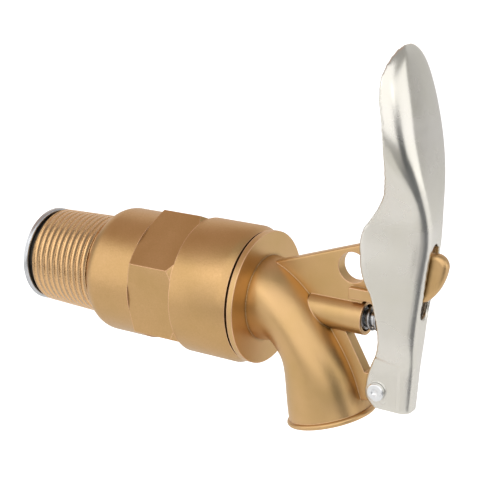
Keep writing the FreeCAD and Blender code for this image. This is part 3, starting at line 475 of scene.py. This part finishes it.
def tinned_steel():
    """Bright tinned sheet, dull and darkened with painted shade where the cup's shoulder sits back
    against the nipple.
    """
    nodes = Nodes("tinned_steel")
    base = tuple(colours().bright_tin)
    clouds = nodes.noise(4 * MM, 3.0)
    tone = nodes.clouded(clouds, tinted(base, 0.9), tinted(base, 1.05))
    along, across, up = nodes.axes()
    radius = nodes.radius(across, up)
    # Painted shade on the shoulder that sits back in the recess against the nipple, mottled by the
    # clouds.
    from_bore, from_rim = (10.6 * MM, 10.8 * MM), (11.5 * MM, 11.3 * MM)
    shoulder = nodes.times(nodes.span(radius, *from_bore), nodes.span(radius, *from_rim))
    seat = nodes.times(nodes.span(along, -2.75 * MM, -2.65 * MM), shoulder)
    seat_shade = nodes.blend(nodes.span(clouds, 0.35, 0.65), (0.06, 0.058, 0.056), (0.17, 0.15, 0.12))
    with_painted_shade = nodes.blend(seat, tone, seat_shade)
    normal = nodes.bump(nodes.noise(0.4 * MM, 2.0), 0.004 * MM)
    return nodes.surface(with_painted_shade, nodes.span(seat, 0.0, 1.0, 0.26, 0.6), normal)


def black_rubber():
    """Matt rubber of the seals, with a little dust on it."""
    nodes = Nodes("black_rubber")
    base = tuple(colours().rubber)
    dust = nodes.noise(1.5 * MM, 4.0)
    tone = nodes.blend(nodes.span(dust, 0.35, 0.75), base, tinted(base, 1.9))
    normal = nodes.bump(nodes.noise(0.2 * MM), 0.006 * MM, nodes.soft_normal(0.1 * MM))
    return nodes.surface(tone, nodes.span(dust, 0.3, 0.7, 0.5, 0.7), normal, metallic=0.0)


# Forms


def thread_cutter(start, end, crest):
    """A helical groove cutter about the X axis from start to end, which leaves the metal at its end."""
    pitch = sizes().thread_pitch
    depth = sizes().thread_depth
    root_half = pitch * 0.07
    outer_half = pitch * 0.47
    above = depth * 0.16
    steps_per_turn = 96
    turns = (end - start) / pitch
    leave_alone()
    bpy.ops.mesh.primitive_circle_add(vertices=4, radius=pitch, location=(0, 0, 0))
    cutter = bpy.context.object
    cutter.name = "thread_cutter"
    corners = (
        (start - root_half, crest - depth),
        (start + root_half, crest - depth),
        (start + outer_half, crest + above),
        (start - outer_half, crest + above),
    )
    for vertex, (along, radius) in zip(cutter.data.vertices, corners):
        vertex.co = (along, 0, radius)
    bpy.ops.object.mode_set(mode="EDIT")
    bpy.ops.mesh.select_all(action="SELECT")
    bpy.ops.mesh.edge_face_add()
    bpy.ops.object.mode_set(mode="OBJECT")
    screw = cutter.modifiers.new("turns", "SCREW")
    screw.axis = "X"
    screw.angle = turns * FULL_TURN
    screw.screw_offset = end - start
    screw.steps = int(turns * steps_per_turn)
    screw.render_steps = screw.steps
    apply_modifiers(cutter)
    return cutter


def taper_nipple(piece, length, crest):
    """Draw the nipple's outside in towards its free end, as a taper thread has it."""
    skin = crest * 0.2
    bore = crest * 0.8
    for vertex in piece.data.vertices:
        along, across, up = vertex.co
        radius = math.hypot(across, up)
        if along > length or radius < bore:
            continue
        share = (radius - bore) / skin
        drawn = min(1.0, share * 2) * (length - along) * sizes().thread_taper
        scale = (radius - drawn) / radius
        vertex.co = (along, across * scale, up * scale)


class TAP_OT_inlet_body(bpy.types.Operator):
    """Cut the tapered pipe thread into the inlet body and give it its cast finish"""

    bl_idname = "tap.inlet_body"
    bl_label = "Inlet body"

    def execute(self, context):
        piece = copy_node("inlet_body", "inlet_body_threaded")
        crest, length = sizes().nipple_radius, sizes().nipple_length
        lead_in = -2.5 * sizes().thread_pitch
        cutter = thread_cutter(lead_in, length, crest)
        groove = piece.modifiers.new("thread", "BOOLEAN")
        groove.operation = "DIFFERENCE"
        groove.solver = "EXACT"
        groove.object = cutter
        apply_modifiers(piece)
        bpy.data.objects.remove(cutter)
        fewest_faces = 10000
        if len(piece.data.polygons) < fewest_faces:
            raise RuntimeError("the thread was not cut")
        taper_nipple(piece, length, crest)
        shade(piece)
        finish_piece(piece, "inlet", "cast_brass", cast_brass(), "inlet_body")
        return {"FINISHED"}


def rolled_rim():
    """The round edge that the arrester cup's flange is rolled into."""
    leave_alone()
    bpy.ops.mesh.primitive_torus_add(
        major_segments=144, minor_segments=24, major_radius=12.0 * MM, minor_radius=0.6 * MM,
        location=(-2.5 * MM, 0, 0), rotation=(0, math.pi / 2, 0))
    rim = bpy.context.object
    rim.name = "arrester_rim"
    settle(rim)
    shade(rim, 60)
    return rim


class TAP_OT_arrester(bpy.types.Operator):
    """Roll the rim of the flame arrester's cup and finish its cup, spacer and screens"""

    bl_idname = "tap.arrester"
    bl_label = "Flame arrester"

    def execute(self, context):
        tin = tinned_steel()
        piece = copy_node("arrester_cup", "arrester_cup_rolled")
        rolled_rim()
        piece.select_set(True)
        context.view_layer.objects.active = piece
        bpy.ops.object.join()
        shade(piece, 40)
        finish_piece(piece, "inlet", "tinned_steel", tin, "arrester_cup")
        finish_nodes("tinned_steel", tin, "arrester_spacer")
        mesh = plain_metal("steel_mesh", (0.5, 0.5, 0.5), 0.35)
        finish_nodes("steel_mesh", mesh, "arrester_front_screen", "arrester_rear_screen")
        return {"FINISHED"}


class TAP_OT_swivel(bpy.types.Operator):
    """Finish the rubber seals and washer, and the pieces of spring wire"""

    bl_idname = "tap.swivel"
    bl_label = "Seals and springs"

    def execute(self, context):
        seals = ("swivel_o_ring", "swivel_washer", "stem_o_ring", "valve_seal")
        finish_nodes("black_rubber", black_rubber(), *seals)
        wire = plain_metal("spring_steel", (0.42, 0.42, 0.43), 0.28)
        finish_nodes("spring_steel", wire, "swivel_snap_ring", "return_spring", "stem_clip")
        return {"FINISHED"}


class TAP_OT_valve(bpy.types.Operator):
    """Finish the stem and the valve that it carries"""

    bl_idname = "tap.valve"
    bl_label = "Stem and valve"

    def execute(self, context):
        steel = plain_metal("stem_steel", (0.55, 0.555, 0.565), 0.26)
        pieces = ("stem", "seal_washer", "lock_nut", "spring_cap", "gland_washer")
        finish_nodes("stem_steel", steel, *pieces)
        finish_nodes("turned_brass", turned_brass(), "valve_cup")
        return {"FINISHED"}


class TAP_OT_spout(bpy.types.Operator):
    """Finish the spout casting"""

    bl_idname = "tap.spout"
    bl_label = "Spout casting"

    def execute(self, context):
        finish_nodes("spout_brass", spout_brass(), "spout_casting")
        return {"FINISHED"}


def smooth_step(low, high, value):
    """0 up to the low value, 1 from the high one on, and a soft rise between them."""
    share = min(1.0, max(0.0, (value - low) / (high - low)))
    return share * share * (3 - 2 * share)


def bow_paddle(piece, knee, top, edge):
    """Bow the paddle's web outwards over its length and lean its rim back towards the round top."""
    bulge_place, bulge_reach, half_width = 38 * MM, 13 * MM, 9 * MM
    bow_reach, rim_reach = 20 * MM, 14 * MM
    for vertex in piece.data.vertices:
        along, across, up = vertex.co
        web = knee.x + (top.x - knee.x) * (up - knee.z) / (top.z - knee.z)
        depth = min(1.0, max(0.0, (along - edge) / max(web - edge, 0.1 * MM)))
        middle = math.exp(-((up - bulge_place) / bulge_reach) ** 2)
        rim = smooth_step(top.z - rim_reach, top.z, up)
        bow = min(1.0, abs(across) / half_width) ** 2 * smooth_step(knee.z, knee.z + bow_reach, up)
        along += depth * (middle * 0.8 - bow * 0.6) * MM - rim * 0.75 * MM
        vertex.co = (along, across * (1 + 0.03 * rim), up + rim * 0.6 * MM)


class TAP_OT_lever(bpy.types.Operator):
    """Finish the pressed lever, with soft bends and sheet edges, and its rivet"""

    bl_idname = "tap.lever"
    bl_label = "Lever"

    def execute(self, context):
        piece = copy_node("lever", "lever_pressed")
        bow_paddle(piece, PADDLE_KNEE, PADDLE_TOP, PADDLE_RIM)
        skin = piece.modifiers.new("skin", "REMESH")
        skin.mode = "VOXEL"
        skin.voxel_size = 0.28 * MM
        soft = piece.modifiers.new("soft", "SMOOTH")
        soft.factor = 0.5
        soft.iterations = 20
        apply_modifiers(piece)
        shade(piece, 60)
        finish_piece(piece, "lever", "plated_steel", plated_steel(), "lever")
        rivet = plain_metal("rivet_aluminium", tuple(colours().aluminium), 0.3)
        finish_nodes("rivet_aluminium", rivet, "pivot_rivet")
        return {"FINISHED"}


def camera_axes():
    """Right, up and back of the photo's camera."""
    turn, rise = studio().camera_azimuth, studio().camera_elevation
    back = Vector((math.sin(turn) * math.cos(rise), -math.cos(turn) * math.cos(rise), math.sin(rise)))
    right = Vector((math.cos(turn), math.sin(turn), 0))
    return right, back.cross(right), back


def paper_material():
    """Pale paper that the camera and the metal see at its full colour, and that keeps the shadow."""
    nodes = Nodes("studio_paper")
    path = nodes.add("ShaderNodeLightPath")
    glossy, through = path.outputs["Is Glossy Ray"], path.outputs["Is Transmission Ray"]
    mirrored = nodes.compute(glossy, through, "MAXIMUM")
    mirrored = nodes.times(mirrored, studio().paper_mirrored)
    seen = nodes.compute(path.outputs["Is Camera Ray"], mirrored, "MAXIMUM")
    matt = nodes.add("ShaderNodeBsdfDiffuse")
    matt.inputs["Color"].default_value = (*studio().background, 1)
    glow = nodes.add("ShaderNodeEmission")
    glow.inputs["Color"].default_value = (1, 1, 1, 1)
    nodes.link(nodes.times(seen, studio().paper_glow), glow.inputs["Strength"])
    both = nodes.add("ShaderNodeAddShader")
    nodes.link(matt.outputs["BSDF"], both.inputs[0])
    nodes.link(glow.outputs["Emission"], both.inputs[1])
    nodes.link(both.outputs["Shader"], nodes.output.inputs["Surface"])
    return nodes.material


def card_material(name, colour):
    """Plain card of an even colour, as the metal sees it."""
    nodes = Nodes(name)
    glow = nodes.add("ShaderNodeEmission")
    glow.inputs["Color"].default_value = (*colour, 1)
    glow.inputs["Strength"].default_value = 1
    nodes.link(glow.outputs["Emission"], nodes.output.inputs["Surface"])
    return nodes.material


def aim(thing, direction):
    """Turn a lamp or a card so that it faces back along the direction it stands in."""
    thing.rotation_mode = "QUATERNION"
    thing.rotation_quaternion = direction.to_track_quat("Z", "Y")


def soft_lamp(name, direction, distance, width, height, level, target):
    """An area lamp of an even brightness that looks at the target from a direction."""
    leave_alone()
    bpy.ops.object.light_add(type="AREA", location=target + direction.normalized() * distance)
    lamp = bpy.context.object
    lamp.name = name
    lamp.data.shape = "RECTANGLE"
    lamp.data.size = width
    lamp.data.size_y = height
    lamp.data.energy = level * math.pi * width * height
    aim(lamp, direction)


def studio_card(name, direction, distance, width, height, colour, target):
    """A plain card that the metal mirrors and that neither the camera nor the shadows know."""
    leave_alone()
    bpy.ops.mesh.primitive_plane_add(size=1, location=target + direction.normalized() * distance)
    card = bpy.context.object
    card.name = name
    card.scale = (width, height, 1)
    aim(card, direction)
    settle(card)
    card.data.materials.append(card_material(name, colour))
    card.visible_camera = False
    card.visible_shadow = False
    card.visible_diffuse = False
    card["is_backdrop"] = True


def paper_sweep(height):
    """Floor and backdrop in one sheet of paper, swept up at the back."""
    leave_alone()
    bpy.ops.mesh.primitive_plane_add(size=2.4, location=(0.06, 1.08, height))
    paper = bpy.context.object
    paper.name = "studio_floor"
    bpy.ops.object.mode_set(mode="EDIT")
    bpy.ops.mesh.select_all(action="DESELECT")
    bpy.ops.object.mode_set(mode="OBJECT")
    back_edge = 0.9
    for edge in paper.data.edges:
        ends = [paper.data.vertices[index].co.y for index in edge.vertices]
        edge.select = min(ends) > back_edge
    bpy.ops.object.mode_set(mode="EDIT")
    bpy.ops.mesh.select_mode(type="EDGE")
    bpy.ops.mesh.extrude_region_move(TRANSFORM_OT_translate={"value": (0, 0, 1.8)})
    bpy.ops.object.mode_set(mode="OBJECT")
    bend = paper.modifiers.new("sweep", "BEVEL")
    bend.width = 0.7
    bend.segments = 24
    apply_modifiers(paper)
    settle(paper)
    shade(paper, 60)
    paper.data.materials.append(paper_material())
    paper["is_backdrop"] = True


def photo_camera(scene):
    """The camera that the photo was taken with, as fitted to its round edges."""
    right, up, back = camera_axes()
    target = Vector((0.065, 0, 0)) - right * (6.02 * MM) + up * (13.92 * MM)
    bpy.ops.object.camera_add(location=target + back * studio().camera_distance)
    camera = bpy.context.object
    camera.name = "photo_camera"
    camera.data.sensor_width = 36
    camera.data.lens = studio().camera_lens
    camera.data.clip_start = 0.01
    camera.data.clip_end = 20
    camera.rotation_mode = "QUATERNION"
    axes = Matrix((right, up, back)).transposed()
    camera.rotation_quaternion = axes.to_quaternion()
    scene.camera = camera


class TAP_OT_stage(bpy.types.Operator):
    """Set up the paper, the camera, the soft lamps and the cards that the metal mirrors"""

    bl_idname = "tap.stage"
    bl_label = "Studio"

    def execute(self, context):
        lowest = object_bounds()[0].z
        paper_sweep(lowest - 45 * MM)
        photo_camera(context.scene)

        middle = Vector((0.06, 0, 0.01))
        light = studio()
        soft_lamp("key_lamp", Vector((-0.74, -0.72, 0.12)), 0.6, 0.6, 0.86, light.key_level, middle)
        soft_lamp("front_lamp", Vector((0.40, -0.78, 0.55)), 0.6, 0.95, 0.86, light.front_level, middle)
        soft_lamp("side_lamp", Vector((0.97, 0.10, 0.22)), 0.6, 0.78, 0.46, light.side_level, middle)
        soft_lamp("spark_lamp", Vector((-0.12, -0.78, 0.62)), 0.62, 0.06, 0.08, light.spark_level, middle)

        warm, dark, blue = (0.56, 0.43, 0.37), (0.07, 0.076, 0.086), (0.16, 0.167, 0.18)
        white, cream = (0.86, 0.85, 0.83), (0.88, 0.80, 0.74)
        lever = Vector((0.105, 0, 0.02))
        studio_card("card_above", Vector((-0.45, 0.22, 0.90)), 0.6, 1.0, 0.62, warm, middle)
        studio_card("card_right", Vector((0.93, -0.36, -0.16)), 0.45, 0.25, 0.46, dark, lever)
        table_height = lowest - 44 * MM
        flat = Vector((0, 0, 1))
        studio_card("card_table", flat, 0, 0.37, 0.15, blue, Vector((0.375, -0.085, table_height)))
        studio_card("card_left", flat, 0, 0.44, 0.18, white, Vector((-0.06, -0.21, table_height)))
        studio_card("card_back", Vector((-0.58, 0.74, 0.32)), 0.6, 0.8, 0.5, cream, middle)

        world = bpy.data.worlds.new("studio_room")
        world.use_nodes = True
        level = world.node_tree.nodes["Background"]
        level.inputs["Color"].default_value = (1, 0.99, 0.975, 1)
        level.inputs["Strength"].default_value = studio().room_level
        context.scene.world = world
        context.scene.view_settings.view_transform = "Standard"
        return {"FINISHED"}


class TAP_PT_panel(bpy.types.Panel):
    """Buttons and values of the drum tap"""

    bl_idname = "TAP_PT_panel"
    bl_label = "Drum tap"
    bl_space_type = "VIEW_3D"
    bl_region_type = "UI"
    bl_category = "Drum tap"

    def draw(self, context):
        for group in (sizes(), colours(), studio()):
            box = self.layout.box()
            for name in group.__annotations__:
                box.prop(group, name)
        for maker in MAKERS:
            self.layout.operator(maker.bl_idname)


MAKERS = (
    TAP_OT_inlet_body,
    TAP_OT_arrester,
    TAP_OT_swivel,
    TAP_OT_valve,
    TAP_OT_spout,
    TAP_OT_lever,
    TAP_OT_stage,
)
GROUPS = {"tap_sizes": TapSizes, "tap_colours": TapColours, "tap_studio": TapStudio}


def register():
    for kind in (*GROUPS.values(), *MAKERS, TAP_PT_panel):
        bpy.utils.register_class(kind)
    for name, group in GROUPS.items():
        setattr(bpy.types.Scene, name, bpy.props.PointerProperty(type=group))


def unregister():
    for name in GROUPS:
        delattr(bpy.types.Scene, name)
    for kind in reversed((*GROUPS.values(), *MAKERS, TAP_PT_panel)):
        bpy.utils.unregister_class(kind)


def main():
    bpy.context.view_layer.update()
    register()
    bpy.ops.tap.inlet_body()
    bpy.ops.tap.arrester()
    bpy.ops.tap.swivel()
    bpy.ops.tap.valve()
    bpy.ops.tap.spout()
    bpy.ops.tap.lever()
    bpy.ops.tap.stage()


if __name__ == "__main__":
    main()
